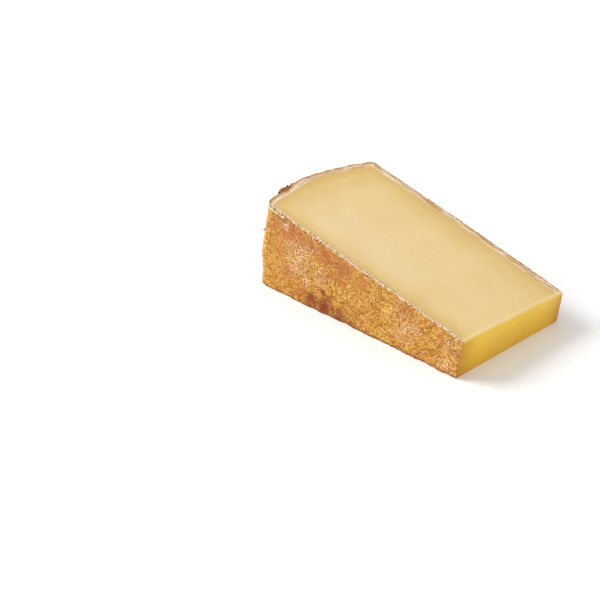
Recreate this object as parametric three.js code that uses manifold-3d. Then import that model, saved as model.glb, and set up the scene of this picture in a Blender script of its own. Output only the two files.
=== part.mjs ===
// A wedge of comte cheese, cut from a whole wheel and lying on one of its cut faces.
//
// Millimetres, +Z up. X runs from the heel (the wheel's rounded rim) to the nose (the cut end near the
// wheel's middle), and Y across the wheel's thickness, from the rind that faces the viewer to the far one.
// The origin is the middle of the bounding box, on the surface that the cheese rests on.
//
// The shape is made as the real one is: a block of the wheel, with rough rind on its two flat sides and its
// convex rim, is cut by three knives, the resting cut, the upper cut and the nose cut.

import * as THREE from "three";
import { mergeVertices, toCreasedNormals } from "three/addons/utils/BufferGeometryUtils.js";
import Module from "manifold-3d";

// The wheel
const WHEEL_THICKNESS = 100;
const WHEEL_RADIUS = 330;
const AXIS_BELOW_BASE = 20; // the resting cut misses the wheel's middle by this much
const RIM_CROWN_X = -9.8; // where the rim stands out most, at the base
const RIM_CROWN_Y = 43;
const NEAR_RIM_BULGE = 6.3; // how far the crown stands out past the rim's near corner, and past its far one
const FAR_RIM_BULGE = 13.8;
const RIM_POWER = 1.5; // 2 is a circle's even curve, and less brings the curve nearer to the crown
const NEAR_CORNER_RADIUS = 6.4;
const FAR_CORNER_RADIUS = 2.5;
const FAR_RIND_SWELL = 1.3; // how far the far rind swells out midway along the wedge

// The upper cut: heights above the base, at the heel and at the nose, on the near and the far rind
const HEEL_CUT_X = 15;
const NOSE_CUT_X = 189;
const NEAR_HEIGHTS = { heel: 66.6, nose: 31.4 };
const FAR_HEIGHTS = { heel: 63.3, nose: 24.9 };
const UPPER_CUT_CROWN = 0.3; // the paste swells a little between the two rinds

// The nose cut: its foot and its lean, on the near and the far rind
const NEAR_NOSE = { foot: 181.9, lean: 0.232 };
const FAR_NOSE = { foot: 185.2, lean: 0.198 };
const NOSE_EDGE_RADIUS = 1.0; // the edge between the upper cut and the nose cut is hardly worn

// The rind's relief: waves of a seeded noise, from broad swells down to coarse grit
const RELIEF = [
  { wave: 36, height: 0.6, seed: 11 },
  { wave: 13, height: 0.35, seed: 23 },
  { wave: 6.5, height: 0.28, seed: 37 },
];
// Crags of dried crust on the rim, and low swells and dents in the rinds, by middle, radius and height
const CRAGS = [
  { x: 4, y: 22, z: 67, radius: 6, height: 3.0 },
  { x: 3, y: 31, z: 67, radius: 5, height: 1.4 },
  { x: 1, y: 70, z: 40, radius: 9, height: 1.0 },
  { x: -7, y: 48, z: 18, radius: 10, height: 1.0 },
  { x: 60, y: 0, z: 14, radius: 11, height: -1.0 },
  { x: 118, y: 0, z: 30, radius: 9, height: -0.6 },
  { x: 150, y: 100, z: 20, radius: 10, height: 0.8 },
  { x: 60, y: 100, z: 45, radius: 12, height: -0.8 },
];

// The mesh
const GRID = 3.0; // spacing of the rind's facets
const OVERSHOOT = 8; // how far the block reaches past each knife, and each knife past the block
const KNIFE_STEPS = { along: 10, across: 12, up: 8 };
const KNIFE_CROWDING = 3; // 1 is even steps, and more crowds them towards the edge over the nose
const CREASE_ANGLE = THREE.MathUtils.degToRad(38);

const RIND_COLOUR = 0xb98545;
const PASTE_COLOUR = 0xe9cf92;

const { lerp, smoothstep } = THREE.MathUtils;

// A repeatable random number from -1 to 1 for each point of a whole-number lattice
function latticeValue(x, y, z, seed) {
  let hash = Math.imul(x, 374761393) ^ Math.imul(y, 668265263) ^ Math.imul(z, 1103515245);
  hash = Math.imul(hash ^ Math.imul(seed, 362437) ^ (hash >>> 13), 1274126177);
  hash = Math.imul(hash ^ (hash >>> 15), 2246822519);
  return ((hash ^ (hash >>> 16)) >>> 0) / 2147483647.5 - 1;
}

// Smooth noise from -1 to 1, blended between the lattice points round (x, y, z)
function noise(x, y, z, seed) {
  const [ix, iy, iz] = [Math.floor(x), Math.floor(y), Math.floor(z)];
  const [fx, fy, fz] = [x - ix, y - iy, z - iz].map((f) => f * f * (3 - 2 * f));
  const along = (dy, dz) =>
    lerp(latticeValue(ix, iy + dy, iz + dz, seed), latticeValue(ix + 1, iy + dy, iz + dz, seed), fx);
  return lerp(lerp(along(0, 0), along(1, 0), fy), lerp(along(0, 1), along(1, 1), fy), fz);
}

// How far the rind stands out of the plain wheel at a point
function rindRelief(point) {
  let height = 0;
  for (const { wave, height: most, seed } of RELIEF)
    height += most * noise(point.x / wave, point.y / wave, point.z / wave, seed);
  for (const crag of CRAGS) {
    const away = Math.hypot(point.x - crag.x, point.y - crag.y, point.z - crag.z);
    height += crag.height * (1 - smoothstep(away, 0, crag.radius));
  }
  return height;
}

// How far the wheel's round rim has curved away from its outermost line at a height above the base
function rimSetBack(z) {
  const aboveAxis = z + AXIS_BELOW_BASE;
  const atBase = WHEEL_RADIUS - Math.sqrt(WHEEL_RADIUS ** 2 - AXIS_BELOW_BASE ** 2);
  return WHEEL_RADIUS - Math.sqrt(WHEEL_RADIUS ** 2 - aboveAxis ** 2) - atBase;
}

// How far the convex rim lies behind its crown at a place across the thickness
function rimBulge(y) {
  if (y < RIM_CROWN_Y) return NEAR_RIM_BULGE * ((RIM_CROWN_Y - y) / RIM_CROWN_Y) ** RIM_POWER;
  return FAR_RIM_BULGE * ((y - RIM_CROWN_Y) / (WHEEL_THICKNESS - RIM_CROWN_Y)) ** RIM_POWER;
}

// How far the far rind has swollen out of the wheel's flat side at a place along the wedge
function farSwell(x) {
  const along = (x - HEEL_CUT_X) / (NOSE_CUT_X - HEEL_CUT_X);
  return FAR_RIND_SWELL * Math.max(4 * along * (1 - along), 0);
}

// Height of the upper cut above the base
function upperCut(x, y) {
  const along = (x - HEEL_CUT_X) / (NOSE_CUT_X - HEEL_CUT_X);
  const across = y / WHEEL_THICKNESS;
  const near = lerp(NEAR_HEIGHTS.heel, NEAR_HEIGHTS.nose, along);
  const far = lerp(FAR_HEIGHTS.heel, FAR_HEIGHTS.nose, along);
  return lerp(near, far, across) + UPPER_CUT_CROWN * (1 - (2 * across - 1) ** 2);
}

// Where the nose cut lies along the length
function noseCut(y, z) {
  const across = y / WHEEL_THICKNESS;
  return lerp(NEAR_NOSE.foot + NEAR_NOSE.lean * z, FAR_NOSE.foot + FAR_NOSE.lean * z, across);
}

// Rounds the square corner at (0, 0) of the quarter plane where both numbers are positive
function roundCorner(a, b, radius) {
  if (a >= radius || b >= radius) return [a, b];
  const scale = Math.max(radius - a, radius - b) / Math.hypot(radius - a, radius - b);
  return [radius - (radius - a) * scale, radius - (radius - b) * scale];
}

// A closed box whose corners run from (0, 0, 0) to (1, 1, 1), with its vertices moved by place(vertex)
function shapedBox(steps, place) {
  const box = new THREE.BoxGeometry(1, 1, 1, steps.along, steps.across, steps.up);
  box.translate(0.5, 0.5, 0.5);
  box.deleteAttribute("normal");
  box.deleteAttribute("uv");
  const merged = mergeVertices(box);
  const positions = merged.getAttribute("position");
  const vertex = new THREE.Vector3();
  for (let i = 0; i < positions.count; i++) {
    place(vertex.fromBufferAttribute(positions, i));
    positions.setXYZ(i, vertex.x, vertex.y, vertex.z);
  }
  return merged;
}

// Moves every vertex along its normal by height(vertex)
function displace(geometry, height) {
  geometry.computeVertexNormals();
  const positions = geometry.getAttribute("position");
  const normals = geometry.getAttribute("normal");
  const vertex = new THREE.Vector3();
  const normal = new THREE.Vector3();
  for (let i = 0; i < positions.count; i++) {
    vertex.fromBufferAttribute(positions, i);
    normal.fromBufferAttribute(normals, i);
    vertex.addScaledVector(normal, height(vertex));
    positions.setXYZ(i, vertex.x, vertex.y, vertex.z);
  }
  geometry.deleteAttribute("normal");
}

// The block of wheel that the wedge is cut from, with rind on its rim and on both flat sides
function wheelBlock() {
  const length = NOSE_CUT_X - RIM_CROWN_X + OVERSHOOT;
  const height = NEAR_HEIGHTS.heel + 2 * OVERSHOOT;
  const steps = {
    along: Math.round(length / GRID),
    across: Math.round(WHEEL_THICKNESS / GRID),
    up: Math.round(height / GRID),
  };
  const block = shapedBox(steps, (vertex) => {
    let depth = vertex.x * length;
    let across = vertex.y * WHEEL_THICKNESS;
    if (across < WHEEL_THICKNESS / 2) {
      [depth, across] = roundCorner(depth, across, NEAR_CORNER_RADIUS);
    } else {
      const [inward, fromFar] = roundCorner(depth, WHEEL_THICKNESS - across, FAR_CORNER_RADIUS);
      [depth, across] = [inward, WHEEL_THICKNESS - fromFar];
    }
    const z = vertex.z * height - OVERSHOOT;
    const x = RIM_CROWN_X + depth + rimBulge(across) + rimSetBack(z);
    vertex.set(x, across + farSwell(x) * (across / WHEEL_THICKNESS), z);
  });
  displace(block, rindRelief);
  return block;
}

// The space between the three knives
function knifeSpace() {
  const length = NOSE_CUT_X - RIM_CROWN_X + 2 * OVERSHOOT;
  return shapedBox(KNIFE_STEPS, (vertex) => {
    const y = lerp(-OVERSHOOT, WHEEL_THICKNESS + OVERSHOOT, vertex.y);
    const height = upperCut(NOSE_CUT_X, y);
    const [fromTop, fromNose] = roundCorner(
      height * (1 - vertex.z) ** KNIFE_CROWDING,
      length * (1 - vertex.x) ** KNIFE_CROWDING,
      NOSE_EDGE_RADIUS,
    );
    const x = noseCut(y, height - fromTop) - fromNose;
    vertex.set(x, y, (1 - fromTop / height) * upperCut(x, y));
  });
}

const wasm = await Module();
wasm.setup();

function solidOf(geometry) {
  return new wasm.Manifold(
    new wasm.Mesh({
      numProp: 3,
      vertProperties: geometry.getAttribute("position").array,
      triVerts: new Uint32Array(geometry.index.array),
    }),
  );
}

// The cut cheese as one geometry in two groups: 0 for the rind, 1 for the cut paste
function wedgeGeometry() {
  const wheel = solidOf(wheelBlock());
  const cheese = wheel.intersect(solidOf(knifeSpace())).getMesh();
  const geometry = new THREE.BufferGeometry();
  geometry.setAttribute("position", new THREE.BufferAttribute(cheese.vertProperties, 3));
  geometry.setIndex(new THREE.BufferAttribute(cheese.triVerts, 1));
  for (let run = 0; run < cheese.runOriginalID.length; run++) {
    const start = cheese.runIndex[run];
    const isRind = cheese.runOriginalID[run] === wheel.originalID();
    geometry.addGroup(start, cheese.runIndex[run + 1] - start, isRind ? 0 : 1);
  }
  geometry.computeBoundingBox();
  const { min, max } = geometry.boundingBox;
  geometry.translate(-(min.x + max.x) / 2, -(min.y + max.y) / 2, -min.z);
  return geometry;
}

const rind = new THREE.MeshStandardMaterial({ color: RIND_COLOUR, roughness: 0.85, metalness: 0 });
const paste = new THREE.MeshStandardMaterial({ color: PASTE_COLOUR, roughness: 0.45, metalness: 0 });

const wedge = new THREE.Mesh(toCreasedNormals(wedgeGeometry(), CREASE_ANGLE), [rind, paste]);
wedge.name = "comte_wedge";

const cheese = new THREE.Group();
cheese.add(wedge);

export default cheese;
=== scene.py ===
"""The looks of a wedge of comte cheese, which lies on one of its cut faces.

The CAD model holds the wedge's shape: a block of the wheel that three knives have cut. This script makes
that shape again from the same numbers, as one closed mesh fine enough for the rind's grain, and gives the
rind and the cut paste their materials. Lengths are in millimetres until the mesh is made, and in metres
after that.
"""

import itertools
import math

import bmesh
import bpy
import numpy as np
from mathutils import Euler, Matrix, Vector


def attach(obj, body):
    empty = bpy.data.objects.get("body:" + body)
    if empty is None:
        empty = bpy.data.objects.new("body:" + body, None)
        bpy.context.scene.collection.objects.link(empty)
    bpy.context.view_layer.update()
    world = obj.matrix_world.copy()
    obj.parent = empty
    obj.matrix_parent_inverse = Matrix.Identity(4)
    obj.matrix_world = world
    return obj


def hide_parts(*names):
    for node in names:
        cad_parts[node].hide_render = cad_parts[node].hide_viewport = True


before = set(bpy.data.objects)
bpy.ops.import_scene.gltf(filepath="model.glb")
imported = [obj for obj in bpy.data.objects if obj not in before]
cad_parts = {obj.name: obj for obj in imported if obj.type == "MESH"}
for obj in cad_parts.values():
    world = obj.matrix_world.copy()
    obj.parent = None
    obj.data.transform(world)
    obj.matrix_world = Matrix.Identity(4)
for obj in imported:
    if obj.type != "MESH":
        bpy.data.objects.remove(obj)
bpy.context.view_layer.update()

MM = 0.001
NODE = "comte_wedge"
ROW_ORIGIN = np.array([90.222, 50.757, 0.0])  # the row frame's origin, in the wheel block's own frame

# The wheel, its three cuts and its broad relief are the CAD model's, number for number
WHEEL_THICKNESS = 100.0
WHEEL_RADIUS = 330.0
AXIS_BELOW_BASE = 20.0
RIM_CROWN = (-9.8, 43.0)  # x at the base, and y
NEAR_RIM_BULGE = 6.3
FAR_RIM_BULGE = 13.8
RIM_POWER = 1.5
NEAR_CORNER_RADIUS = 6.4
FAR_CORNER_RADIUS = 2.5
FAR_RIND_SWELL = 1.3
HEEL_CUT_X = 15.0
NOSE_CUT_X = 189.0
NEAR_HEIGHTS = (66.6, 31.4)  # along each rind, at HEEL_CUT_X and at NOSE_CUT_X
FAR_HEIGHTS = (63.3, 24.9)
UPPER_CUT_CROWN = 0.3
NEAR_NOSE = (181.9, 0.232)  # along each rind, x at the foot and the lean
FAR_NOSE = (185.2, 0.198)
NOSE_EDGE_RADIUS = 1.0
RELIEF = ((36.0, 0.6, 11), (13.0, 0.35, 23), (6.5, 0.28, 37))  # wave, height, seed
CRAGS = (  # middle, radius, height
    ((4, 22, 67), 6, 3.0),
    ((3, 31, 67), 5, 1.4),
    ((1, 70, 40), 9, 1.0),
    ((-7, 48, 18), 10, 1.0),
    ((60, 0, 14), 11, -1.0),
    ((118, 0, 30), 9, -0.6),
    ((150, 100, 20), 10, 0.8),
    ((60, 100, 45), 12, -0.8),
)
HEEL_CRAG, HEEL_CRAG_RADIUS, HEEL_CRAG_HEIGHT = CRAGS[0]  # dried crust that stands out at the heel

# The mesh: steps from fine at the edges to coarse in the middle of each side
STEP_AT_EDGE = 0.35
STEP_ALONG = 0.75
STEP_ACROSS = 0.72
STEP_UP = 0.75
EDGE_REACH = 6.0
CUT_RING = 16  # rows of small faces round a cut side, with large ones inside them
BASE_RING = 6
CUT_BLOCK = 5

# The rind's fine relief
GRAIN_SIZE = 1.6
GRAIN_HEIGHT = 0.2
GRAIN_JITTER = 0.42  # how far grains lie off a regular grid, in grain sizes
GRIT_WAVE = 1.1
GRIT_HEIGHT = 0.13
PIT_WAVE = 2.7
PIT_DEPTH = 0.4
CRAG_WAVE = 2.0
CRAG_ROUGHNESS = 1.3
RELIEF_REACH = 4.5  # how far in from the rind the cut sides still follow its relief
LIP_HEIGHT = 0.55  # the crumbly lip that the wire left along the upper edges
LIP_WIDTH = 1.5
TEAR_WAVES = (3.4, 1.6)
TEAR_DEPTH = 1.0  # crumbs broken out of the near rind's upper and lower edges
FAR_TEAR_DEPTH = 0.3
FOOT_TEAR = 0.4  # the share of that wear at the foot
TEAR_REACH = 1.8
FOOT_GAPS = (  # where the near rind's foot stands clear of the table: x, half width, height
    (1.0, 1.6, 1.4),
    (27.5, 1.8, 1.3),
    (38.0, 2.2, 0.9),
    (52.0, 3.5, 1.2),
    (66.0, 4.0, 1.4),
    (80.0, 3.0, 1.0),
    (121.0, 2.0, 0.8),
    (174.5, 3.2, 1.3),
)
FOOT_GAP_REACH = 2.2
FOOT_RAGGED_WAVE = 5.5  # the small unevenness of the whole foot
FOOT_RAGGED_HEIGHT = 0.4
FOOT_RAGGED_REACH = 1.2
FOOT_HEIGHT = 3.0  # up to where the rind follows the lift of its foot

# The crumbs
CRUMB_SEED = 5
CRUMB_TILT = 0.5  # radians, the spread of the crumbs' turns
CRAG_CRUMBS = (  # from y, to y, count, size
    (15.5, 31.0, 60, 0.75),
    (44.0, 51.0, 12, 0.5),
    (56.0, 84.0, 10, 0.4),
)
STRAY_CRUMB = (3.3, 1.7, 45.0)  # a lone one that stands out from the rim's near corner
LIP_CRUMBS = (  # from x, to x, count, size
    (9.0, 33.0, 90, 0.9),
    (33.0, 120.0, 360, 1.2),
    (120.0, 160.0, 110, 1.0),
    (160.0, 186.0, 110, 1.15),
)
CRACK = (8.0, 26.0, 1.5)  # from x, to x and how far below the edge the torn rind hangs at the heel
CRACK_CRUMBS = 60

# Dark bits in the lip, x
NOTCHES = (28.5, 31.0, 33.0, 35.5, 37.5, 39.5, 43.8, 46.0, 58.0, 69.5, 84.0, 104.5, 106.0, 127.0, 150.0)

# Where the rind has darker, paler and redder places: middle, radius, strength
STAINS = (
    ((50, 0, 6), 8, 1.0),
    ((61, 0, 5), 9, 1.1),
    ((75, 0, 0), 9, 1.0),
    ((88, 0, 0), 7, 0.6),
    ((60.6, 0, 16.6), 2.6, 1.3),
    ((68.5, 0, 16.5), 2.6, 0.7),
    ((93, 0, 12), 4, 0.35),
    ((181, 0, 20), 4, 0.5),
    ((3.5, 24, 67), 5, 1.0),
    ((10, 0, 66), 3, 1.0),
    ((15, 0, 65), 3, 1.0),
    ((20, 0, 63.5), 3, 0.9),
    ((25, 0, 62), 2, 0.6),
    ((3, 47, 67), 4, 0.9),
    ((70, 100, 10), 9, 0.8),
    ((0, 78, 8), 8, 0.7),
)
BLOOMS = (
    ((40, 0, 41), 9, 0.85),
    ((27, 0, 56), 4, 1.0),
    ((45, 0, 20), 4, 1.1),
    ((36, 0, 30), 7, 0.8),
    ((58, 0, 30), 7, 0.4),
    ((137, 0, 22), 9, 0.7),
    ((171, 0, 6), 5, 0.6),
    ((178, 0, 24), 6, 0.25),
    ((120, 100, 20), 14, 0.8),
    ((40, 100, 30), 12, 0.9),
    ((-6, 30, 30), 9, 0.9),
    ((0, 75, 20), 12, 0.8),
    ((8, 10, 66), 10, 1.0),
    ((6, 26, 66), 9, 1.0),
    ((4, 42, 66), 8, 0.8),
    ((17, 69, 66), 7, 0.8),
    ((120, 82, 41), 5, 0.6),
)
FLUSHES = (
    ((18, 0, 55), 10, 0.9),
    ((33, 0, 54), 10, 1.5),
    ((20, 0, 38), 11, 0.7),
    ((42, 0, 14), 8, 0.5),
    ((50, 0, 51), 9, 1.0),
    ((66, 0, 47), 10, 1.3),
    ((82, 0, 43), 11, 1.4),
    ((98, 0, 39), 8, 0.8),
    ((65, 0, 33), 7, 0.8),
    ((28, 0, 22), 10, 0.8),
    ((135, 0, 34), 7, 0.6),
    ((140, 100, 30), 16, 0.9),
    ((20, 100, 45), 14, 0.9),
    ((0, 20, 50), 12, 0.7),
    ((2, 85, 55), 12, 0.9),
)

# Each side's chart on the texture map, in millimetres: the row frame's axes that run right and up it, with
# their signs, and where the row frame's origin falls on the sheet
CHART_SHEET = 312.0
CHARTS = {
    "top": ((1, 1), (0, 1), (53, 101)),
    "base": ((1, 1), (0, 1), (161, 101)),
    "near": ((0, 1), (2, 1), (101, 206)),
    "far": ((0, -1), (2, -1), (101, 310)),
    "rim": ((2, 1), (1, 1), (216, 53)),
    "nose": ((2, 1), (1, 1), (216, 162)),
}
CUT_SIDES = ("top", "base", "nose")

# The depth below the rind, which gives the cut sides their colours. It counts for less where the bands are
# wider, along the far rind and the rim
NEAR_BAND_START = 0.6
NEAR_BAND_SQUEEZE = 0.75
BAND_SQUEEZE = 0.44
NEAR_NOSE_SQUEEZE = 0.7
CRAG_BAND_START = 0.9  # how much less deep the cut side is taken to be at the heel's crag

# The upper cut: the streaks of its band, the middle of its painted sheen (its palest place, standing in for
# a broad reflection) and its most rippled place, x and y in the row frame
STREAK_LENGTH = 20 * MM
STREAK_WIDTH = 0.6  # in the scale of the depth below the rind
PAINTED_SHEEN_MIDDLE = (-16.0, -28.0)
PAINTED_SHEEN_STRETCH = 1.8
RIPPLED = (21.0, -20.0)
RIPPLE_SCALE = 80.0  # the wave texture's scale, for ripples 4 mm apart
NOSE_HEIGHT = FAR_HEIGHTS[1] * MM

# The grains that the rind's material draws, each with its own colour and a wavering outline
CELL_SIZE = 1.05
CELL_WOBBLE = 1.4
CELL_WOBBLE_WAVE = 1.6

# For the shader nodes
BLACK = (0, 0, 0, 1)
WHITE = (1, 1, 1, 1)
MIX_FIRST, MIX_SECOND, MIX_RESULT = 6, 7, 2  # the colour sockets of a Mix node, whose names aren't unique

# The camera, the lights and the floor, in metres
CAMERA_LENS = 127.8
CAMERA_YAW = math.radians(136.33)
CAMERA_PITCH = math.radians(31.02)
CAMERA_ROLL = math.radians(-2.181)
CAMERA_AIM = Vector(([35.347, 2.548, 0.0] - ROW_ORIGIN) * MM)  # the floor's point in the picture's middle
CAMERA_DISTANCE = 1.4864
LIGHTS = (  # name, direction to it in the camera's right, back and up, distance, size, watts
    ("key", (-0.85, 0.25, 0.75), 3.0, 1.7, 75.5),
    ("fill", (0.6, -0.9, 0.7), 2.0, 1.4, 5.5),
)
SURROUND_STRENGTH = 0.62
FLOOR_HALF = 4.0  # half the floor's width


def srgb(red, green, blue):
    """A screen colour, 0 to 255, as the linear colour that a shader takes."""
    shares = (value / 255 for value in (red, green, blue))
    linear = (share / 12.92 if share < 0.04045 else ((share + 0.055) / 1.055) ** 2.4 for share in shares)
    return (*linear, 1)


def lerp(start, end, share):
    """The value a share of the way from start to end."""
    return start + (end - start) * share


def smoothstep(value, low, high):
    """0 below low and 1 above high, with a smooth rise between them."""
    share = np.clip((value - low) / (high - low), 0, 1)
    return share * share * (3 - 2 * share)


def add_object(name, data):
    """A new object in the scene, made of this mesh, camera or light."""
    made = bpy.data.objects.new(name, data)
    bpy.context.scene.collection.objects.link(made)
    return made


# Noise, the same numbers from the same places as in the CAD model


def lattice_value(x, y, z, seed):
    """A repeatable random number from -1 to 1 for each point of a whole-number lattice."""
    x, y, z = (np.asarray(n).astype(np.int64).astype(np.uint32) for n in (x, y, z))
    bits = x * np.uint32(374761393) ^ y * np.uint32(668265263) ^ z * np.uint32(1103515245)
    bits = (bits ^ np.uint32(seed * 362437) ^ (bits >> 13)) * np.uint32(1274126177)
    bits = (bits ^ (bits >> 15)) * np.uint32(2246822519)
    return (bits ^ (bits >> 16)) / 2147483647.5 - 1


def noise(points, wave, seed):
    """Smooth noise from -1 to 1, blended between lattice points that are one wave apart."""
    scaled = points / wave
    corner = np.floor(scaled)
    blend = scaled - corner
    blend = blend * blend * (3 - 2 * blend)
    total = np.zeros(len(points))
    for step in itertools.product((0, 1), repeat=3):
        share = np.prod(np.where(step, blend, 1 - blend), axis=1)
        total += share * lattice_value(*(corner + step).T, seed)
    return total


def grain_distance(points, size, seed):
    """How far each point is from the nearest of a jumble of grain middles, in grain sizes."""
    scaled = points / size
    cell = np.floor(scaled)
    nearest = np.full(len(points), 2.0)
    for step in itertools.product((-1, 0, 1), repeat=3):
        at = cell + step
        jitter = np.stack([lattice_value(*at.T, seed + axis) for axis in range(3)], axis=1)
        nearest = np.minimum(nearest, np.linalg.norm(at + 0.5 + GRAIN_JITTER * jitter - scaled, axis=1))
    return nearest


def patches(points, places):
    """How strongly each point lies in any of a list of round patches with soft, uneven edges."""
    total = np.zeros(len(points))
    uneven = 1 + 0.35 * noise(points, 7.0, seed=191) + 0.25 * noise(points, 3.0, seed=193)
    for middle, radius, strength in places:
        away = np.linalg.norm(points - np.array(middle), axis=1)
        total = np.maximum(total, strength * np.exp(-((away * uneven / radius) ** 2)))
    return total


# The wheel block and its cuts


def rim_set_back(z):
    """How far the wheel's round rim has curved away at a height above the base."""
    at_base = WHEEL_RADIUS - math.sqrt(WHEEL_RADIUS**2 - AXIS_BELOW_BASE**2)
    return WHEEL_RADIUS - np.sqrt(WHEEL_RADIUS**2 - (z + AXIS_BELOW_BASE) ** 2) - at_base


def rim_bulge(y):
    """How far the convex rim lies behind its crown at a place across the thickness."""
    crown = RIM_CROWN[1]
    near = NEAR_RIM_BULGE * (np.maximum(crown - y, 0) / crown) ** RIM_POWER
    far = FAR_RIM_BULGE * (np.maximum(y - crown, 0) / (WHEEL_THICKNESS - crown)) ** RIM_POWER
    return near + far


def far_swell(x):
    """How far the far rind has swollen out of the wheel's flat side at a place along the wedge."""
    along = (x - HEEL_CUT_X) / (NOSE_CUT_X - HEEL_CUT_X)
    return FAR_RIND_SWELL * np.maximum(4 * along * (1 - along), 0)


def upper_cut(x, y):
    """Height of the upper cut above the base."""
    along = (x - HEEL_CUT_X) / (NOSE_CUT_X - HEEL_CUT_X)
    across = y / WHEEL_THICKNESS
    crown = UPPER_CUT_CROWN * (1 - (2 * across - 1) ** 2)
    return lerp(lerp(*NEAR_HEIGHTS, along), lerp(*FAR_HEIGHTS, along), across) + crown


def nose_cut(y, z):
    """Where the nose cut lies along the length."""
    foot, lean = (lerp(near, far, y / WHEEL_THICKNESS) for near, far in zip(NEAR_NOSE, FAR_NOSE))
    return foot + lean * z


def round_corner(a, b, radius):
    """Rounds the square corner at (0, 0) of the quarter plane where both numbers are positive."""
    da = np.maximum(radius - a, 1e-9)
    db = np.maximum(radius - b, 1e-9)
    inside = (a < radius) & (b < radius)
    scale = np.where(inside, np.maximum(da, db) / np.hypot(da, db), 1)
    return np.where(inside, radius - da * scale, a), np.where(inside, radius - db * scale, b)


def wedge_points(u, v, w):
    """Places each grid point, 0 to 1 from rim to nose, near to far and base to top, on the plain wedge.

    Also says how far each point is from the rim, the near rind, the far rind, the nose and the upper cut.
    """
    across = v * WHEEL_THICKNESS
    z = w * upper_cut(u * NOSE_CUT_X, across)
    for _ in range(3):
        rim_x = RIM_CROWN[0] + rim_bulge(across) + rim_set_back(z)
        length = nose_cut(across, z) - rim_x
        x = rim_x + u * length
        z = w * upper_cut(x, across)
    top = upper_cut(x, across)
    from_nose, below_top = round_corner((1 - u) * length, (1 - w) * top, NOSE_EDGE_RADIUS)
    depth = length - from_nose
    near_depth, near_y = round_corner(depth, across, NEAR_CORNER_RADIUS)
    far_depth, far_y = round_corner(depth, WHEEL_THICKNESS - across, FAR_CORNER_RADIUS)
    is_near = across < WHEEL_THICKNESS / 2
    rounded_depth = np.where(is_near, near_depth, far_depth)
    y = np.where(is_near, near_y, WHEEL_THICKNESS - far_y)
    z = top - below_top
    x = RIM_CROWN[0] + rim_bulge(y) + rim_set_back(z) + rounded_depth
    x = np.where(u == 1, nose_cut(y, z) - from_nose, x)
    y = y + far_swell(x) * y / WHEEL_THICKNESS
    gaps = {"rim": depth, "near": across, "far": WHEEL_THICKNESS - across}
    return np.stack([x, y, z], axis=1), {**gaps, "nose": from_nose, "top": below_top}


def from_rind(gaps):
    """How far each point is from the nearest rind."""
    return np.minimum(np.minimum(gaps["near"], gaps["far"]), gaps["rim"])


def past_near_edge(points):
    """0 along the near rind, rising to 1 on the other sides, whose edges the wire left cleaner."""
    return smoothstep(points[:, 1], 4.0, 14.0)


# The rind's relief


def broad_relief(points):
    """The swells and crags that the CAD model has too."""
    height = sum(most * noise(points, wave, seed) for wave, most, seed in RELIEF)
    for middle, radius, most in CRAGS:
        away = np.linalg.norm(points - np.array(middle), axis=1)
        height = height + most * (1 - smoothstep(away, 0, radius))
    return height


def fine_relief(points):
    """Grains, grit and pits, with a rougher patch on the crag by the heel's near corner."""
    grain = 0.55 - grain_distance(points, GRAIN_SIZE, seed=71)
    grit = noise(points, GRIT_WAVE, seed=83) + 0.6 * noise(points, GRIT_WAVE * 0.6, seed=89)
    pits = smoothstep(noise(points, PIT_WAVE, seed=97), 0.35, 0.8)
    crag = patches(points, [(HEEL_CRAG, HEEL_CRAG_RADIUS, 1.0)])
    jagged = CRAG_ROUGHNESS * crag * noise(points, CRAG_WAVE, seed=101)
    return 2 * GRAIN_HEIGHT * grain + GRIT_HEIGHT * grit - PIT_DEPTH * pits + jagged


def rind_shift(points, gaps, height):
    """How points move outward for a height: fully on the rind, and less and less into the cut sides."""
    step = 0.5
    y_slope = (rim_bulge(points[:, 1] + step) - rim_bulge(points[:, 1] - step)) / (2 * step)
    z_slope = (rim_set_back(points[:, 2] + step) - rim_set_back(points[:, 2] - step)) / (2 * step)
    outward = np.stack([-np.ones(len(points)), y_slope, z_slope], axis=1)
    outward /= np.linalg.norm(outward, axis=1)[:, None]
    fade = {side: np.clip(1 - gaps[side] / RELIEF_REACH, 0, 1) ** 1.5 for side in ("rim", "near", "far")}
    shift = outward * fade["rim"][:, None]
    shift[:, 1] += fade["far"] - fade["near"]
    return shift * height[:, None]


def torn(points):
    """Noise from -1 to 1 for the torn edges of the rind, low where a crumb broke out."""
    return 0.75 * sum(noise(points, wave, seed=131 + place) for place, wave in enumerate(TEAR_WAVES))


def edge_wear(points, gaps):
    """How deep crumbs have broken out of the rind beside its upper and lower edges."""
    deepest = lerp(TEAR_DEPTH, FAR_TEAR_DEPTH, past_near_edge(points))
    at_top = np.clip(1 - gaps["top"] / TEAR_REACH, 0, 1)
    at_foot = np.clip(1 - points[:, 2] / TEAR_REACH, 0, 1)
    return deepest * smoothstep(-torn(points), -0.1, 0.7) * np.maximum(at_top, FOOT_TEAR * at_foot)


def lip(points, gaps):
    """How high the torn edge of the upper cut stands up."""
    crest = (0.15 + np.clip(torn(points), -0.15, 1)) * lerp(1.0, 0.6, past_near_edge(points))
    return np.where(gaps["top"] == 0, LIP_HEIGHT * crest * np.exp(-((from_rind(gaps) / LIP_WIDTH) ** 2)), 0)


def foot_lift(points, gaps):
    """How far the rind's foot is lifted clear of the table."""
    ragged = FOOT_RAGGED_HEIGHT * smoothstep(noise(points, FOOT_RAGGED_WAVE, seed=161), 0.05, 0.6)
    ragged = ragged * np.exp(-((from_rind(gaps) / FOOT_RAGGED_REACH) ** 2))
    gap = sum(high * np.exp(-(((points[:, 0] - x) / half) ** 4)) for x, half, high in FOOT_GAPS)
    gap = gap * np.clip(1 - gaps["near"] / FOOT_GAP_REACH, 0, 1) ** 0.5
    return np.maximum(ragged, gap) * np.clip(1 - points[:, 2] / FOOT_HEIGHT, 0, 1)


# The mesh


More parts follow.
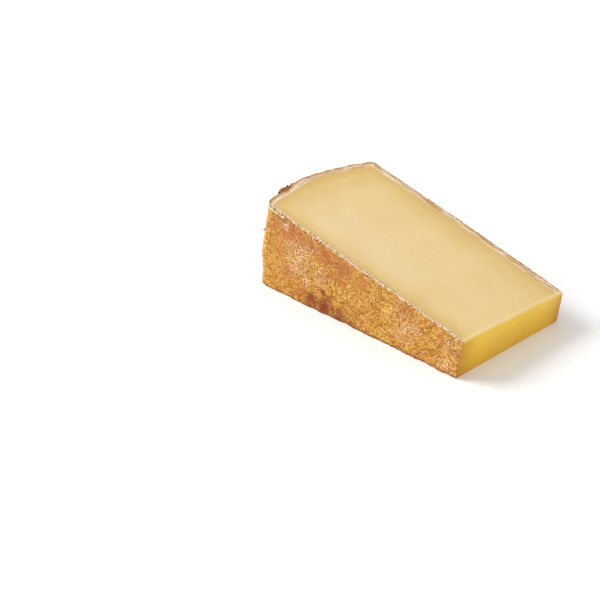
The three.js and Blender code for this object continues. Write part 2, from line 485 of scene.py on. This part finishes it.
def graded(length, step):
    """Places from 0 to 1 along a length, with steps that grow from fine at both ends."""
    places = [0.0]
    while places[-1] < length:
        from_end = max(min(places[-1], length - places[-1]), 0)
        places.append(places[-1] + lerp(STEP_AT_EDGE, step, min(from_end / EDGE_REACH, 1)))
    return np.array(places) / places[-1]


def grid_faces(ids):
    """One four-sided face for each cell of a grid of vertex numbers, as a grid of faces."""
    return np.stack([ids[:-1, :-1], ids[1:, :-1], ids[1:, 1:], ids[:-1, 1:]], axis=-1)


def framed_faces(ids, ring):
    """Small faces in a ring round the edge of a grid, and faces CUT_BLOCK cells wide inside it."""
    last_row, last_column = (size - 1 - ring for size in ids.shape)
    small = np.ones((ids.shape[0] - 1, ids.shape[1] - 1), bool)
    small[ring:last_row, ring:last_column] = False
    faces = grid_faces(ids)[small].tolist()
    rows = [*range(ring, last_row, CUT_BLOCK), last_row]
    columns = [*range(ring, last_column, CUT_BLOCK), last_column]
    for (r0, r1), (c0, c1) in itertools.product(zip(rows, rows[1:]), zip(columns, columns[1:])):
        loop = [ids[r, c0] for r in (range(r0, r1) if c0 == ring else (r0,))]
        loop += [ids[r1, c] for c in (range(c0, c1) if r1 == last_row else (c0,))]
        loop += [ids[r, c1] for r in (range(r1, r0, -1) if c1 == last_column else (r1,))]
        loop += [ids[r0, c] for c in (range(c1, c0, -1) if r0 == ring else (c1,))]
        faces.append([int(number) for number in loop])
    return faces


def wedge_grid():
    """The grid's points, 0 to 1 from rim to nose, near to far and base to top, and each side's faces."""
    us = graded(NOSE_CUT_X - RIM_CROWN[0], STEP_ALONG)
    vs = graded(WHEEL_THICKNESS, STEP_ACROSS)
    ws = graded(NEAR_HEIGHTS[0], STEP_UP)
    ids = np.full((len(us), len(vs), len(ws)), -1)
    skin = np.zeros(ids.shape, bool)
    skin[[0, -1]] = skin[:, [0, -1]] = skin[:, :, [0, -1]] = True
    ids[skin] = np.arange(skin.sum())
    faces = {
        "near": grid_faces(ids[:, 0, :]).reshape(-1, 4).tolist(),
        "far": grid_faces(ids[:, -1, :].T).reshape(-1, 4).tolist(),
        "rim": grid_faces(ids[0].T).reshape(-1, 4).tolist(),
        "top": framed_faces(ids[:, :, -1], CUT_RING),
        "nose": framed_faces(ids[-1], CUT_RING),
        "base": framed_faces(ids[:, :, 0].T, BASE_RING),
    }
    used = np.unique([number for listed in faces.values() for face in listed for number in face])
    renumber = np.zeros(skin.sum(), int)
    renumber[used] = np.arange(len(used))
    for side, listed in faces.items():
        faces[side] = [[int(renumber[number]) for number in face] for face in listed]
    return [places[skin][used] for places in np.meshgrid(us, vs, ws, indexing="ij")], faces


def make_wedge():
    """The whole wedge as one closed mesh, with its charts and the attributes that its materials read."""
    places, faces = wedge_grid()
    plain, gaps = wedge_points(*places)
    fine = fine_relief(plain)
    wear = edge_wear(plain, gaps)
    lift = foot_lift(plain, gaps)
    points = plain + rind_shift(plain, gaps, broad_relief(plain) + fine - wear)
    points[:, 2] += lip(plain, gaps) + lift

    mesh = bpy.data.meshes.new("comte_wedge_visual")
    mesh.from_pydata((points - ROW_ORIGIN) * MM, [], [face for listed in faces.values() for face in listed])
    side_of_face = [side for side, listed in faces.items() for _ in listed]
    mesh.polygons.foreach_set("material_index", [int(side in CUT_SIDES) for side in side_of_face])
    mesh.polygons.foreach_set("use_smooth", [True] * len(side_of_face))
    add_charts(mesh, side_of_face)
    add_values(mesh, plain, gaps)
    # The fine relief's height, less the broken-out wear and the foot's lift, which the rind's material
    # darkens as painted shade where it sinks
    add_value(mesh, "crest", np.clip((fine - wear - lift) / 0.6, -1, 1))
    mesh.validate()
    return add_object("comte_wedge_visual", mesh)


def add_charts(mesh, side_of_face):
    """Lays each side flat on its own chart of one texture map."""
    chart_map = mesh.uv_layers.new(name="OFBake")
    counts = np.zeros(len(mesh.polygons), int)
    mesh.polygons.foreach_get("loop_total", counts)
    corners = np.zeros(len(mesh.loops), int)
    mesh.loops.foreach_get("vertex_index", corners)
    places = np.zeros(len(mesh.vertices) * 3)
    mesh.vertices.foreach_get("co", places)
    places = places.reshape(-1, 3)[corners] / MM
    side_of_corner = np.repeat(np.array(side_of_face), counts)
    chart = np.zeros((len(corners), 2))
    for side, (right, up, origin) in CHARTS.items():
        here = side_of_corner == side
        for place, (axis, sign) in enumerate((right, up)):
            chart[here, place] = sign * places[here, axis] + origin[place]
    chart_map.data.foreach_set("uv", (chart / CHART_SHEET).ravel())


def add_value(mesh, name, values):
    """Keeps one number for each vertex under a name that a material can read."""
    mesh.attributes.new(name, "FLOAT", "POINT").data.foreach_set("value", np.asarray(values, np.float32))


def add_values(mesh, points, gaps):
    """Keeps what the materials read about each place of the plain wedge.

    depth is how deep below the rind a cut side is. stain, bloom and flush say how much a place is in such a
    patch, and nose how much it is on the nose. Two more say how near a place is to the nose's upper edge and
    to the rim's near corner, where the materials put painted highlights. edge is how far below the near
    upper edge a place is, and large along the other edges.
    """
    on_nose = smoothstep(-gaps["nose"], -1.0, -0.2) * smoothstep(gaps["top"], 0.1, 0.7)
    from_near = NEAR_BAND_SQUEEZE * gaps["near"] + NEAR_BAND_START
    cut_depth = np.minimum(from_near, BAND_SQUEEZE * np.minimum(gaps["far"], gaps["rim"]))
    cut_depth = np.maximum(cut_depth - CRAG_BAND_START * patches(points, [(HEEL_CRAG, 5.5, 1.0)]), 0)
    nose_depth = np.minimum(NEAR_NOSE_SQUEEZE * gaps["near"], gaps["far"])
    add_value(mesh, "depth", lerp(cut_depth, nose_depth, on_nose))
    add_value(mesh, "stain", patches(points, STAINS))
    add_value(mesh, "bloom", patches(points, BLOOMS))
    add_value(mesh, "flush", patches(points, FLUSHES))
    add_value(mesh, "nose", on_nose)
    # Where the painted highlight along the nose's upper edge goes, on the upper cut and on the nose
    add_value(mesh, "edge_highlight", np.exp(-(((gaps["nose"] + gaps["top"] - 0.5) / 2.2) ** 2)))
    # Where the painted highlight on the rim's near corner goes
    add_value(mesh, "corner", np.exp(-((np.hypot(gaps["rim"], gaps["near"]) / 2.6) ** 2)))
    add_value(mesh, "edge", gaps["top"] + 5 * smoothstep(points[:, 1], 4.0, 12.0))


# Crumbs: closed lumps half sunk in the surface


def make_crumbs(name, crumbs):
    """Ragged lumps. Each crumb is its place, its half sizes along x, y and z, and its paleness, 0 to 1."""
    rng = np.random.default_rng(CRUMB_SEED)
    ball = bmesh.new()
    bmesh.ops.create_icosphere(ball, subdivisions=2, radius=1.0)
    unit = np.array([vertex.co for vertex in ball.verts])
    faces = np.array([[vertex.index for vertex in face.verts] for face in ball.faces])
    ball.free()
    points = []
    for place, half_sizes, _ in crumbs:
        turn = np.array(Euler(rng.normal(0, CRUMB_TILT, 3)).to_matrix())
        lump = unit * (1 + 0.5 * noise(unit + rng.uniform(0, 50, 3), 0.7, CRUMB_SEED))[:, None]
        points.append(place + (lump * half_sizes) @ turn)
    mesh = bpy.data.meshes.new(name)
    every_face = np.concatenate([faces + len(unit) * number for number in range(len(crumbs))])
    mesh.from_pydata((np.concatenate(points) - ROW_ORIGIN) * MM, [], every_face.tolist())
    mesh.polygons.foreach_set("use_smooth", [True] * len(every_face))
    add_value(mesh, "pale", np.repeat([paleness for *_, paleness in crumbs], len(unit)))
    return add_object(name, mesh)


def rim_point(y, z):
    """The place on the plain rim at a height and a place across the thickness."""
    return np.array([RIM_CROWN[0] + rim_bulge(y) + rim_set_back(z), y, z])


def near_rind(x, z):
    """How far in from its flat side the near rind's surface is, at the rounded corner by the rim."""
    to_flat = max(NEAR_CORNER_RADIUS - (x - rim_point(0, z)[0]), 0)
    return NEAR_CORNER_RADIUS - math.sqrt(max(NEAR_CORNER_RADIUS**2 - to_flat**2, 0))


def crag_crumbs():
    """Dark shards of the dried crust that stands out at the rim's upper edge, and of smaller spots there."""
    rng = np.random.default_rng(CRUMB_SEED)
    crumbs = []
    for first_y, last_y, count, size in CRAG_CRUMBS:
        for y in rng.uniform(first_y, last_y, count):
            swell = math.exp(-(((y - HEEL_CRAG[1]) / HEEL_CRAG_RADIUS) ** 2))
            out = HEEL_CRAG_HEIGHT * swell * rng.uniform(0.35, 1.0)
            drop = rng.uniform(-0.3, 2.2)
            place = rim_point(y, upper_cut(HEEL_CRAG[0], y) - drop) - (out, 0, 0)
            half_sizes = size * rng.uniform((0.35, 0.5, 0.25), (0.9, 1.3, 0.6))
            crumbs.append((place, half_sizes, rng.uniform(0.0, 0.25) + 0.2 * max(drop, 0)))
    crumbs.append((np.array(STRAY_CRUMB), (1.1, 1.0, 0.6), 0.45))
    return make_crumbs("crag_crumbs", crumbs)


def lip_crumbs():
    """Crumbs along the near upper edge, where the wire tore the rind: pale flakes and dark bits."""
    rng = np.random.default_rng(CRUMB_SEED)
    crumbs = []
    for first_x, last_x, count, size in LIP_CRUMBS:
        for x in rng.uniform(first_x, last_x, count):
            y = rng.uniform(-0.4, 1.4)
            hang = rng.uniform(0, 1.0) if y < -0.1 else rng.uniform(-0.15, 0.2)
            half_sizes = size * rng.uniform((0.35, 0.2, 0.15), (1.1, 0.45, 0.4))
            z = upper_cut(x, y) - hang
            crumbs.append((np.array([x, y + near_rind(x, z), z]), half_sizes, rng.uniform(0.5, 1.0)))
    first_x, last_x, drop = CRACK
    for x in rng.uniform(first_x, last_x, CRACK_CRUMBS):
        z = upper_cut(x, 0) - drop * rng.uniform(0.8, 1.3)
        place = np.array([x, near_rind(x, z) - 0.4, z])
        crumbs.append((place, rng.uniform((0.4, 0.25, 0.2), (1.1, 0.45, 0.5)), rng.uniform(0.75, 1.0)))
    for x in NOTCHES:
        place = np.array([x, rng.uniform(-0.5, 0.0), upper_cut(x, 0) - rng.uniform(0.1, 0.8)])
        crumbs.append((place, rng.uniform((0.5, 0.2, 0.25), (1.0, 0.4, 0.5)), rng.uniform(0.1, 0.3)))
    return make_crumbs("lip_crumbs", crumbs)


# Materials


def add(tree, kind, inputs=None, **settings):
    """Adds a node, with its settings, and sets or links its inputs by name or number."""
    node = tree.nodes.new("ShaderNode" + kind)
    for name, value in settings.items():
        setattr(node, name, value)
    for key, value in (inputs or {}).items():
        if isinstance(value, bpy.types.NodeSocket):
            tree.links.new(value, node.inputs[key])
        else:
            node.inputs[key].default_value = value
    return node


def math_node(tree, operation, *values, clamp=False):
    """One operation on numbers or sockets, as a socket."""
    return add(tree, "Math", dict(enumerate(values)), operation=operation, use_clamp=clamp).outputs[0]


def mixed(tree, share, first, second, blend="MIX"):
    """A blend of two colours."""
    inputs = {0: share, MIX_FIRST: first, MIX_SECOND: second}
    return add(tree, "Mix", inputs, data_type="RGBA", blend_type=blend).outputs[MIX_RESULT]


def ramp(tree, value, stops, top=1.0):
    """A colour for each value from 0 to top, through the stops (value, colour)."""
    node = add(tree, "ValToRGB", {0: math_node(tree, "DIVIDE", value, top)})
    elements = node.color_ramp.elements
    while len(elements) < len(stops):
        elements.new(0.5)
    for element, (place, colour) in zip(elements, stops):
        element.position = place / top
        element.color = colour
    return node.outputs[0]


def place_in_frame(tree):
    """The place in the row frame, in metres."""
    return add(tree, "TexCoord").outputs["Object"]


def spots(tree, wave, detail=2.0, roughness=0.5):
    """Noise from 0 to 1 whose features are about a wave (in millimetres) across."""
    sizes = {"Scale": 1 / (wave * MM), "Detail": detail, "Roughness": roughness}
    return add(tree, "TexNoise", {"Vector": place_in_frame(tree), **sizes}).outputs[0]


def product(tree, first, *others):
    """Numbers multiplied, kept from 0 to 1."""
    for other in others:
        first = math_node(tree, "MULTIPLY", first, other, clamp=True)
    return first


def attribute(tree, name):
    """The number that the mesh keeps for each vertex under this name."""
    return add(tree, "Attribute", attribute_name=name).outputs["Fac"]


def bump(tree, height, strength, distance, under=None, invert=False):
    """The surface's direction, tilted by a height map up to a distance (in millimetres) high."""
    inputs = {"Strength": strength, "Distance": distance * MM, "Height": height}
    if under is not None:
        inputs["Normal"] = under
    return add(tree, "Bump", inputs, invert=invert).outputs[0]


def new_material(name):
    """A material with a Principled shader, and that shader."""
    material = bpy.data.materials.new(name)
    material.use_nodes = True
    return material, material.node_tree, material.node_tree.nodes["Principled BSDF"]


def coordinates(tree):
    """The x, y and z of the place in the row frame, in metres."""
    return add(tree, "SeparateXYZ", {0: place_in_frame(tree)}).outputs


def block_coordinate(tree, axis):
    """The x (axis 0) or the y (axis 1) of the place in the wheel block's own frame, in millimetres."""
    return math_node(tree, "MULTIPLY_ADD", coordinates(tree)[axis], 1 / MM, ROW_ORIGIN[axis])


def streaks(tree, depth):
    """Noise from 0 to 1, drawn out along the rind and narrow across it."""
    x, y, _ = coordinates(tree)
    along_x, along_y = (math_node(tree, "DIVIDE", value, STREAK_LENGTH) for value in (x, y))
    across = math_node(tree, "DIVIDE", depth, STREAK_WIDTH)
    place = add(tree, "CombineXYZ", {0: across, 1: along_x, 2: along_y}).outputs[0]
    sizes = {"Scale": 1.0, "Detail": 4.0, "Roughness": 0.65}
    return add(tree, "TexNoise", {"Vector": place, **sizes}).outputs[0]


def upper_cut_colour(tree):
    """Brown skin, a pale streaky band, an olive line and then cream, by the depth below the rind."""
    uneven = math_node(tree, "SUBTRACT", spots(tree, 2.4, detail=4.0, roughness=0.6), 0.5)
    depth = math_node(tree, "MULTIPLY_ADD", uneven, 1.3, attribute(tree, "depth"))
    zones = (
        (0.0, srgb(160, 104, 42)),
        (0.35, srgb(184, 131, 64)),
        (0.7, srgb(213, 181, 138)),
        (2.1, srgb(219, 190, 146)),
        (3.2, srgb(221, 189, 126)),
        (5.4, srgb(228, 200, 143)),
        (13.0, srgb(235, 209, 162)),
    )
    colour = ramp(tree, depth, zones, top=15.0)
    band = ramp(tree, depth, ((0.3, BLACK), (0.6, WHITE), (2.0, WHITE), (2.5, BLACK)), top=4.0)
    streak = streaks(tree, attribute(tree, "depth"))
    pale = ramp(tree, streak, ((0.52, BLACK), (0.55, WHITE)))
    dark = ramp(tree, streak, ((0.43, WHITE), (0.48, BLACK)))
    bloom = attribute(tree, "bloom")
    colour = mixed(tree, product(tree, band, pale, 0.75), colour, srgb(243, 228, 208))
    colour = mixed(tree, product(tree, band, dark, 0.9), colour, srgb(190, 144, 86))
    frosted = ramp(tree, depth, ((1.1, BLACK), (1.4, WHITE), (1.9, WHITE), (2.3, BLACK)), top=4.0)
    frost = ramp(tree, spots(tree, 4.0, detail=4.0, roughness=0.6), ((0.38, BLACK), (0.52, WHITE)))
    colour = mixed(tree, product(tree, frosted, frost, bloom, 0.85), colour, srgb(240, 227, 217))
    smear = ramp(tree, spots(tree, 5.0, detail=4.0, roughness=0.6), ((0.46, BLACK), (0.6, WHITE)))
    inside = ramp(tree, depth, ((3.0, BLACK), (5.0, WHITE)), top=6.0)
    colour = mixed(tree, product(tree, bloom, smear, inside, 0.6), colour, srgb(246, 228, 190))
    # Painted highlight: paler along the nose's upper edge
    colour = mixed(tree, product(tree, attribute(tree, "edge_highlight"), 0.85), colour, srgb(247, 226, 172))
    stained = math_node(tree, "LESS_THAN", depth, 0.6)
    blotch = ramp(tree, spots(tree, 1.4, detail=3.0), ((0.4, BLACK), (0.6, WHITE)))
    return mixed(tree, product(tree, attribute(tree, "stain"), stained, blotch), colour, srgb(104, 62, 26))


def nose_colour(tree):
    """Deep yellow, browner and greener towards the rinds, darker and browner towards the foot as painted
    shade, and with a painted highlight along the upper edge.
    """
    zones = (
        (0.0, srgb(190, 130, 56)),
        (0.8, srgb(208, 154, 63)),
        (4.0, srgb(220, 171, 55)),
        (8.0, srgb(232, 187, 56)),
        (15.0, srgb(241, 199, 67)),
    )
    colour = ramp(tree, attribute(tree, "depth"), zones, top=20.0)
    # Painted shade: the nose darker and browner towards its foot
    height = math_node(tree, "DIVIDE", coordinates(tree)["Z"], NOSE_HEIGHT)
    foot = ramp(tree, height, ((0.0, srgb(240, 230, 202)), (0.5, srgb(249, 243, 232)), (0.92, WHITE)))
    colour = mixed(tree, 1.0, colour, foot, "MULTIPLY")
    shades = (
        (0.0, srgb(245, 244, 214)),
        (6.0, srgb(248, 246, 208)),
        (9.0, srgb(252, 250, 218)),
        (15.0, WHITE),
    )
    greener = ramp(tree, block_coordinate(tree, axis=1), shades, top=20.0)
    colour = mixed(tree, 1.0, colour, greener, "MULTIPLY")
    # Painted highlight: paler along the nose's upper edge
    colour = mixed(tree, product(tree, attribute(tree, "edge_highlight"), 0.35), colour, srgb(246, 216, 120))
    marks = ramp(tree, spots(tree, 5.0, detail=3.0), ((0.35, srgb(250, 246, 236)), (0.65, WHITE)))
    return mixed(tree, 0.7, colour, marks, "MULTIPLY")


def away_from(tree, middle, stretch=1.0):
    """How many millimetres off a place of the upper cut is. Lengths along x count stretch times less."""
    x, y, _ = coordinates(tree)
    along = math_node(tree, "MULTIPLY_ADD", x, 1 / MM / stretch, -middle[0] / stretch)
    across = math_node(tree, "MULTIPLY_ADD", y, 1 / MM, -middle[1])
    flat = add(tree, "CombineXYZ", {0: along, 1: across}).outputs[0]
    return add(tree, "VectorMath", {0: flat}, operation="LENGTH").outputs["Value"]


def sheen_and_shade_tint(tree):
    """A slight tint on the upper cut: a painted sheen, palest round its middle and yellower away from it,
    and painted shade that darkens it towards the rim.
    """
    # Painted sheen: the upper cut is palest round one place and yellower away from it
    yellows = ((12.0, WHITE), (36.0, srgb(254, 251, 239)), (60.0, srgb(254, 251, 236)))
    yellow = ramp(tree, away_from(tree, PAINTED_SHEEN_MIDDLE, PAINTED_SHEEN_STRETCH), yellows, top=80.0)
    # Painted shade: the upper cut darker towards the rim
    shades = ((8.0, srgb(250, 248, 236)), (42.0, WHITE))
    shade = ramp(tree, block_coordinate(tree, axis=0), shades, top=50.0)
    return mixed(tree, 1.0, yellow, shade, "MULTIPLY")


def paste_colour(tree):
    """Cream with faint clouds on the upper cut, and deep yellow on the nose."""
    inside = ramp(tree, attribute(tree, "depth"), ((2.0, BLACK), (3.2, WHITE)), top=5.0)
    colour = mixed(tree, inside, upper_cut_colour(tree), sheen_and_shade_tint(tree), "MULTIPLY")
    cloudy = ramp(tree, spots(tree, 30.0, detail=3.0), ((0.35, WHITE), (0.7, srgb(251, 247, 240))))
    colour = mixed(tree, 1.0, colour, cloudy, "MULTIPLY")
    fine = ramp(tree, spots(tree, 1.4, detail=3.0), ((0.3, srgb(250, 247, 240)), (0.7, WHITE)))
    colour = mixed(tree, 0.8, colour, fine, "MULTIPLY")
    return mixed(tree, attribute(tree, "nose"), colour, nose_colour(tree))


def ripples(tree):
    """The wire's ripples across the upper cut, clear round one place and fainter away from it."""
    waves = {
        "Vector": place_in_frame(tree),
        "Scale": RIPPLE_SCALE,
        "Distortion": 4.0,
        "Detail": 2.0,
        "Detail Scale": 0.8,
    }
    height = add(tree, "TexWave", waves, bands_direction="X").outputs["Fac"]
    shares = ((10.0, WHITE), (30.0, srgb(110, 110, 110)))
    return math_node(tree, "MULTIPLY", height, ramp(tree, away_from(tree, RIPPLED), shares, top=60.0))


def paste_material():
    """The cut paste: smooth, waxy and a little translucent, with the wire's ripples and a fine grain."""
    material, tree, shader = new_material("comte_paste")
    tree.links.new(paste_colour(tree), shader.inputs["Base Color"])
    gloss = math_node(tree, "MULTIPLY_ADD", spots(tree, 9.0), 0.16, 0.36)
    tree.links.new(gloss, shader.inputs["Roughness"])
    shader.inputs["Specular IOR Level"].default_value = 0.3
    shader.inputs["Subsurface Weight"].default_value = 0.3
    shader.inputs["Subsurface Radius"].default_value = (1.0, 0.55, 0.18)
    shader.inputs["Subsurface Scale"].default_value = 3.0 * MM
    rippled = bump(tree, ripples(tree), strength=0.26, distance=0.25)
    grainy = bump(tree, spots(tree, 1.1, detail=4.0), strength=0.25, distance=0.2, under=rippled)
    tree.links.new(grainy, shader.inputs["Normal"])
    return material


def grain_colour(tree, cells):
    """A colour of its own for each grain, between a golden and a mauve-brown family."""
    shares = add(tree, "SeparateColor", {0: cells.outputs["Color"]}).outputs
    golden = (
        (0.0, srgb(156, 106, 34)),
        (0.16, srgb(186, 136, 42)),
        (0.45, srgb(207, 166, 52)),
        (0.75, srgb(218, 181, 68)),
        (1.0, srgb(231, 208, 126)),
    )
    mauve = (
        (0.0, srgb(154, 88, 48)),
        (0.16, srgb(184, 115, 60)),
        (0.45, srgb(206, 142, 72)),
        (0.75, srgb(219, 156, 84)),
        (1.0, srgb(237, 196, 148)),
    )
    family = ramp(tree, shares[1], ((0.3, BLACK), (0.7, WHITE)))
    return mixed(tree, family, ramp(tree, shares[0], golden), ramp(tree, shares[0], mauve))


def grain_cells(tree):
    """A cell for each grain, with a wavering outline."""
    place = place_in_frame(tree)
    waves = {"Vector": place, "Scale": 1 / (CELL_WOBBLE_WAVE * MM), "Detail": 3.0}
    wobble = add(tree, "TexNoise", waves).outputs["Color"]
    place = mixed(tree, CELL_WOBBLE * MM, place, wobble, "ADD")
    return add(tree, "TexVoronoi", {"Vector": place, "Scale": 1 / (CELL_SIZE * MM), "Randomness": 1.0})


def rind_colour(tree, cells):
    """Golden brown grains with painted shade in the pits and notches, red-brown flushes, stains, pale bloom
    and torn edges, a painted highlight on the rim's near corner, and a dark line along the foot that is
    painted contact shadow with some dirt.
    """
    colour = grain_colour(tree, cells)
    uneven = spots(tree, 8.0, detail=5.0, roughness=0.65)
    patch = ramp(tree, uneven, ((0.36, srgb(232, 184, 150)), (0.6, WHITE)))
    colour = mixed(tree, 0.6, colour, patch, "MULTIPLY")
    # Painted shade: darker where the relief sinks, in pits, broken-out notches and the gaps under the foot
    crest = math_node(tree, "MULTIPLY_ADD", attribute(tree, "crest"), 0.5, 0.5)
    painted_hollow_shade = math_node(tree, "MULTIPLY", math_node(tree, "SUBTRACT", 0.5, crest, clamp=True), 0.75)
    colour = mixed(tree, painted_hollow_shade, colour, srgb(128, 72, 36))

    rough_noise = spots(tree, 2.0, detail=4.0, roughness=0.7)
    flush = product(tree, attribute(tree, "flush"), rough_noise, 1.1)
    colour = mixed(tree, flush, colour, srgb(178, 100, 56))
    blotch = math_node(tree, "MULTIPLY_ADD", rough_noise, 1.8, -0.1)
    stain = product(tree, attribute(tree, "stain"), blotch)
    behind_crown = math_node(tree, "SUBTRACT", block_coordinate(tree, axis=0), RIM_CROWN[0])
    tones = ((24.0, srgb(112, 72, 34)), (36.0, srgb(128, 44, 32)))
    colour = mixed(tree, stain, colour, ramp(tree, behind_crown, tones, top=50.0))
    speck = ramp(tree, spots(tree, 1.5, detail=4.0), ((0.53, BLACK), (0.59, WHITE)))
    colour = mixed(tree, product(tree, attribute(tree, "bloom"), speck, 0.9), colour, srgb(251, 240, 224))
    # Painted highlight: a pale, uneven strip on the rim's near corner, where the rounded rind turns to the
    # light
    corner_highlight = ramp(tree, rough_noise, ((0.36, BLACK), (0.56, WHITE)))
    colour = mixed(tree, product(tree, attribute(tree, "corner"), corner_highlight, 0.8), colour, srgb(236, 198, 146))
    # A dark line along the foot: painted contact shadow, with some dirt
    foot = math_node(tree, "MULTIPLY_ADD", rough_noise, -3.2 * MM, coordinates(tree)["Z"])
    foot_shadow_and_dirt = ramp(tree, math_node(tree, "DIVIDE", foot, MM), ((0.0, WHITE), (0.6, BLACK)))
    colour = mixed(tree, product(tree, foot_shadow_and_dirt, 0.55), colour, srgb(110, 64, 34))
    ragged = spots(tree, 1.5, detail=4.0, roughness=0.6)
    below_edge = math_node(tree, "MULTIPLY_ADD", ragged, -5.0, attribute(tree, "edge"))
    pale_edge = ramp(tree, math_node(tree, "ADD", below_edge, 3.0), ((0.6, WHITE), (1.3, BLACK)), top=2.0)
    unstained = math_node(tree, "SUBTRACT", 1.0, stain, clamp=True)
    return mixed(tree, product(tree, pale_edge, unstained), colour, srgb(246, 228, 200))


def rind_material():
    """The dry rind: a bump for each grain, and finer grit on all of them."""
    material, tree, shader = new_material("comte_rind")
    cells = grain_cells(tree)
    tree.links.new(rind_colour(tree, cells), shader.inputs["Base Color"])
    shader.inputs["Roughness"].default_value = 0.82
    shader.inputs["Specular IOR Level"].default_value = 0.2
    grit = spots(tree, 0.8, detail=4.0, roughness=0.65)
    gritty = bump(tree, grit, strength=0.38, distance=0.3)
    hollows = cells.outputs["Distance"]
    pebbly = bump(tree, hollows, strength=0.38, distance=0.35, under=gritty, invert=True)
    tree.links.new(pebbly, shader.inputs["Normal"])
    return material


def crumb_material():
    """Dry crumbs: dark and mouldy in the crag by the heel, pale along the upper edges."""
    material, tree, shader = new_material("comte_crumbs")
    uneven = math_node(tree, "SUBTRACT", spots(tree, 0.9, detail=3.0), 0.5)
    paleness = math_node(tree, "MULTIPLY_ADD", uneven, 0.5, attribute(tree, "pale"), clamp=True)
    tones = (
        (0.0, srgb(80, 52, 26)),
        (0.2, srgb(132, 84, 38)),
        (0.4, srgb(186, 124, 62)),
        (0.65, srgb(228, 192, 136)),
        (1.0, srgb(251, 238, 214)),
    )
    tree.links.new(ramp(tree, paleness, tones), shader.inputs["Base Color"])
    shader.inputs["Roughness"].default_value = 0.8
    shader.inputs["Specular IOR Level"].default_value = 0.2
    rough = bump(tree, spots(tree, 0.5, detail=3.0), strength=0.5, distance=0.2)
    tree.links.new(rough, shader.inputs["Normal"])
    return material


# Stage, light and camera


def camera_axes():
    """The camera's right, up and backward directions."""
    forward = Vector(
        (
            math.cos(CAMERA_YAW) * math.cos(CAMERA_PITCH),
            math.sin(CAMERA_YAW) * math.cos(CAMERA_PITCH),
            -math.sin(CAMERA_PITCH),
        )
    )
    level_right = Vector((math.sin(CAMERA_YAW), -math.cos(CAMERA_YAW), 0))
    level_up = level_right.cross(forward)
    right = level_right * math.cos(CAMERA_ROLL) + level_up * math.sin(CAMERA_ROLL)
    up = level_up * math.cos(CAMERA_ROLL) - level_right * math.sin(CAMERA_ROLL)
    return right, up, -forward


def add_camera():
    """The camera, at the photograph's viewing angle."""
    data = bpy.data.cameras.new("camera")
    data.lens = CAMERA_LENS
    data.sensor_width = 36.0
    data.clip_start = 0.05
    data.clip_end = 50.0
    camera = add_object("camera", data)
    right, up, back = camera_axes()
    camera.matrix_world = Matrix((right, up, back)).transposed().to_4x4()
    camera.location = CAMERA_AIM + back * CAMERA_DISTANCE
    bpy.context.scene.camera = camera


def add_lights():
    """Two large soft lamps, aimed at the wedge."""
    right = Vector((math.sin(CAMERA_YAW), -math.cos(CAMERA_YAW), 0))
    away = Vector((math.cos(CAMERA_YAW), math.sin(CAMERA_YAW), 0))
    for name, (to_right, to_back, to_top), distance, size, watts in LIGHTS:
        data = bpy.data.lights.new(name, "AREA")
        data.shape = "SQUARE"
        data.size = size
        data.energy = watts
        light = add_object(name, data)
        direction = (right * to_right + away * to_back + Vector((0, 0, to_top))).normalized()
        light.location = direction * distance
        light.rotation_euler = direction.to_track_quat("Z", "Y").to_euler()


def add_stage():
    """A plain white floor under white light from all round."""
    world = bpy.data.worlds.new("studio")
    world.use_nodes = True
    background = world.node_tree.nodes["Background"]
    background.inputs["Color"].default_value = WHITE
    background.inputs["Strength"].default_value = SURROUND_STRENGTH
    bpy.context.scene.world = world
    corners = [(x * FLOOR_HALF, y * FLOOR_HALF, 0) for x, y in ((-1, -1), (1, -1), (1, 1), (-1, 1))]
    mesh = bpy.data.meshes.new("floor")
    mesh.from_pydata(corners, [], [(0, 1, 2, 3)])
    material, _, shader = new_material("floor_white")
    shader.inputs["Base Color"].default_value = (0.97, 0.97, 0.97, 1)
    shader.inputs["Roughness"].default_value = 0.9
    mesh.materials.append(material)
    add_object("floor", mesh)


# The pieces and their stage

wedge = make_wedge()
wedge.data.materials.append(rind_material())
wedge.data.materials.append(paste_material())
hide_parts(NODE)
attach(wedge, "root")
crumb_look = crumb_material()
for crumbs in (crag_crumbs(), lip_crumbs()):
    crumbs.data.materials.append(crumb_look)
    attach(crumbs, "root")
add_stage()
add_lights()
add_camera()
bpy.context.scene.view_settings.view_transform = "Standard"
